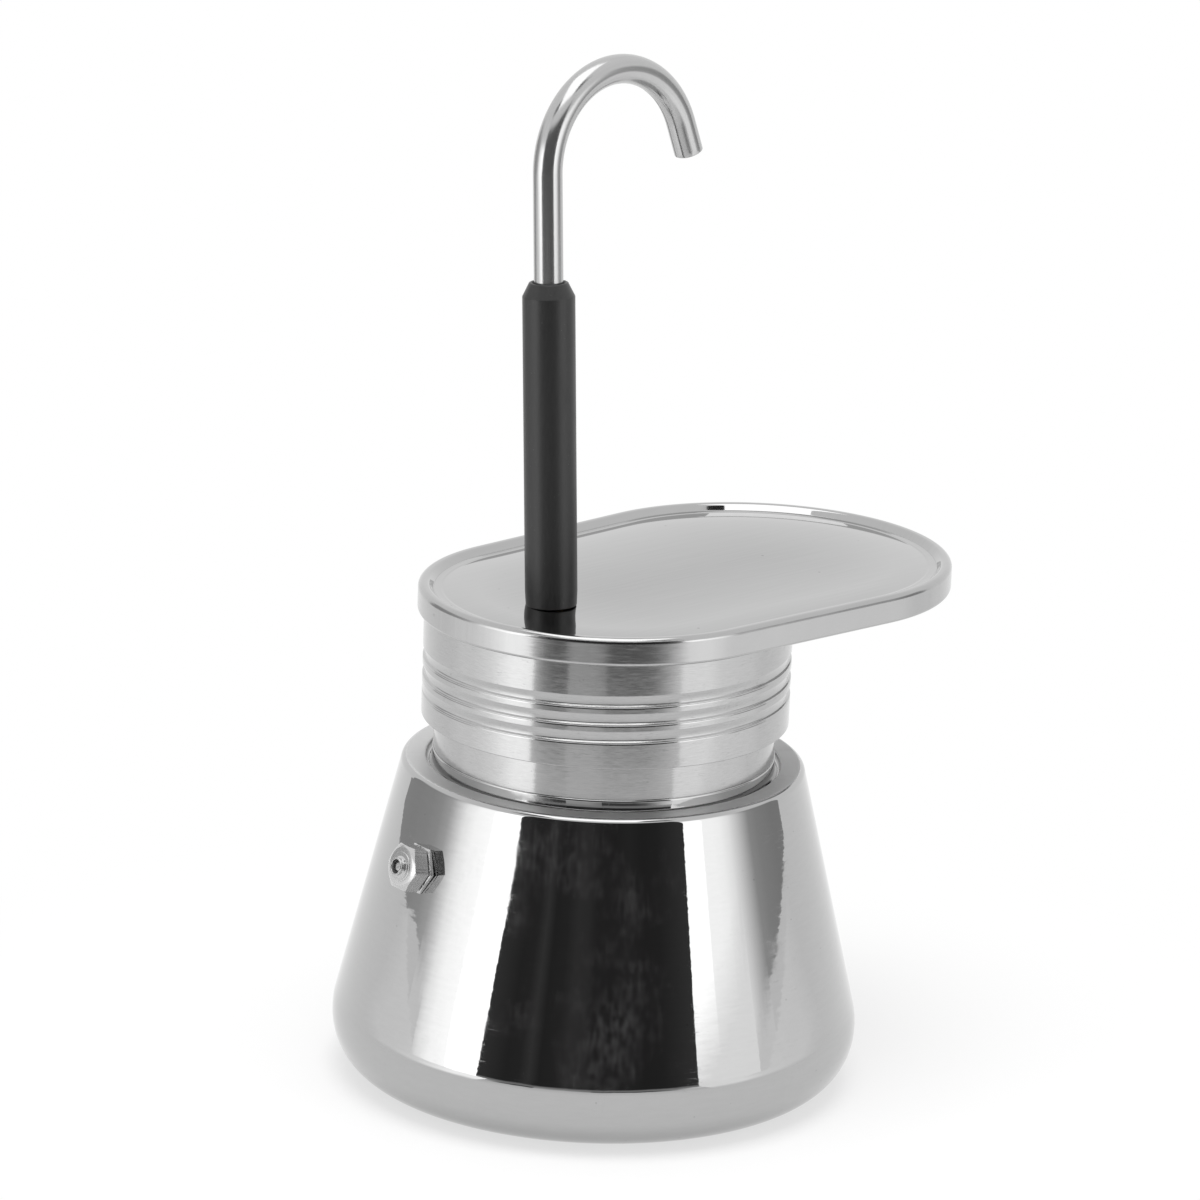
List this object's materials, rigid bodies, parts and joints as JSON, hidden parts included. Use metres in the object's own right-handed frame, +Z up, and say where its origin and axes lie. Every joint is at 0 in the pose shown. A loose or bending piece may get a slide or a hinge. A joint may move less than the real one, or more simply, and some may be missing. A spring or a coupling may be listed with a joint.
{
  "type": "moka pot",
  "caption": "Stove-top coffee maker: conical boiler, screw-on head with a cup tray and a bent steam tube in a heat-proof sleeve that pours into a cup",
  "frame": {"origin": "centre of the boiler's flat base, on the axis of boiler, basket and head", "axes": "+Z up, +X from the boiler's axis along the cup tray's overhang, +Y to the left of the tray"},
  "size_m": [0.1113, 0.0878, 0.1717],
  "materials": {
    "mirror_steel": "polished",
    "satin_steel": "satin",
    "brass_fitting": "satin",
    "black_plastic": "matte",
    "gasket_rubber": "matte",
    "washer_rubber": "matte"
  },
  "bodies": {
    "boiler": {"boiler_shell": "mirror_steel", "boiler_neck": "satin_steel", "valve_boss": "mirror_steel", "valve_washer": "washer_rubber", "valve_body": "mirror_steel", "valve_seat": "brass_fitting", "valve_spring": "satin_steel"},
    "relief_pin": {"valve_pin": "satin_steel"},
    "basket": {"basket_cup": "satin_steel", "basket_screen": "satin_steel", "basket_stem": "satin_steel"},
    "gasket": {"head_gasket": "gasket_rubber"},
    "filter": {"filter_plate": "satin_steel"},
    "head": {"threaded_collar": "satin_steel", "cup_tray": "mirror_steel", "spout_tube": "satin_steel", "spout_ferrule": "brass_fitting", "spout_washer": "washer_rubber", "spout_nut": "brass_fitting", "grip_sleeve": "black_plastic"}
  },
  "joints": [
    {"name": "valve_pin_slide", "type": "slide", "parent": "boiler", "child": "relief_pin", "axis": [-0.9686, 0.0762, 0.2368], "range_m": [0, 0.0015], "stiffness_N_per_m": 200, "deforming": ["valve_spring"]},
    {"name": "basket_lift", "type": "slide", "parent": "boiler", "child": "basket", "axis": [0, 0, 1], "range_m": [0, 0.08]},
    {"name": "head_lift", "type": "slide", "parent": "basket", "child": "gasket", "axis": [0, 0, 1], "range_m": [0, 0.072]},
    {"name": "head_rise", "type": "slide", "parent": "gasket", "child": "filter", "axis": [0, 0, 1], "range_m": [0, 0.00976]},
    {"name": "head_turn", "type": "hinge", "parent": "filter", "child": "head", "pos_m": [0, 0, 0.082], "axis": [0, 0, 1], "range_deg": [0, 1170]}
  ],
  "couplings": [
    {"joint": "head_rise", "follows": "head_turn", "m_per_rad": 0.00047746}
  ]
}
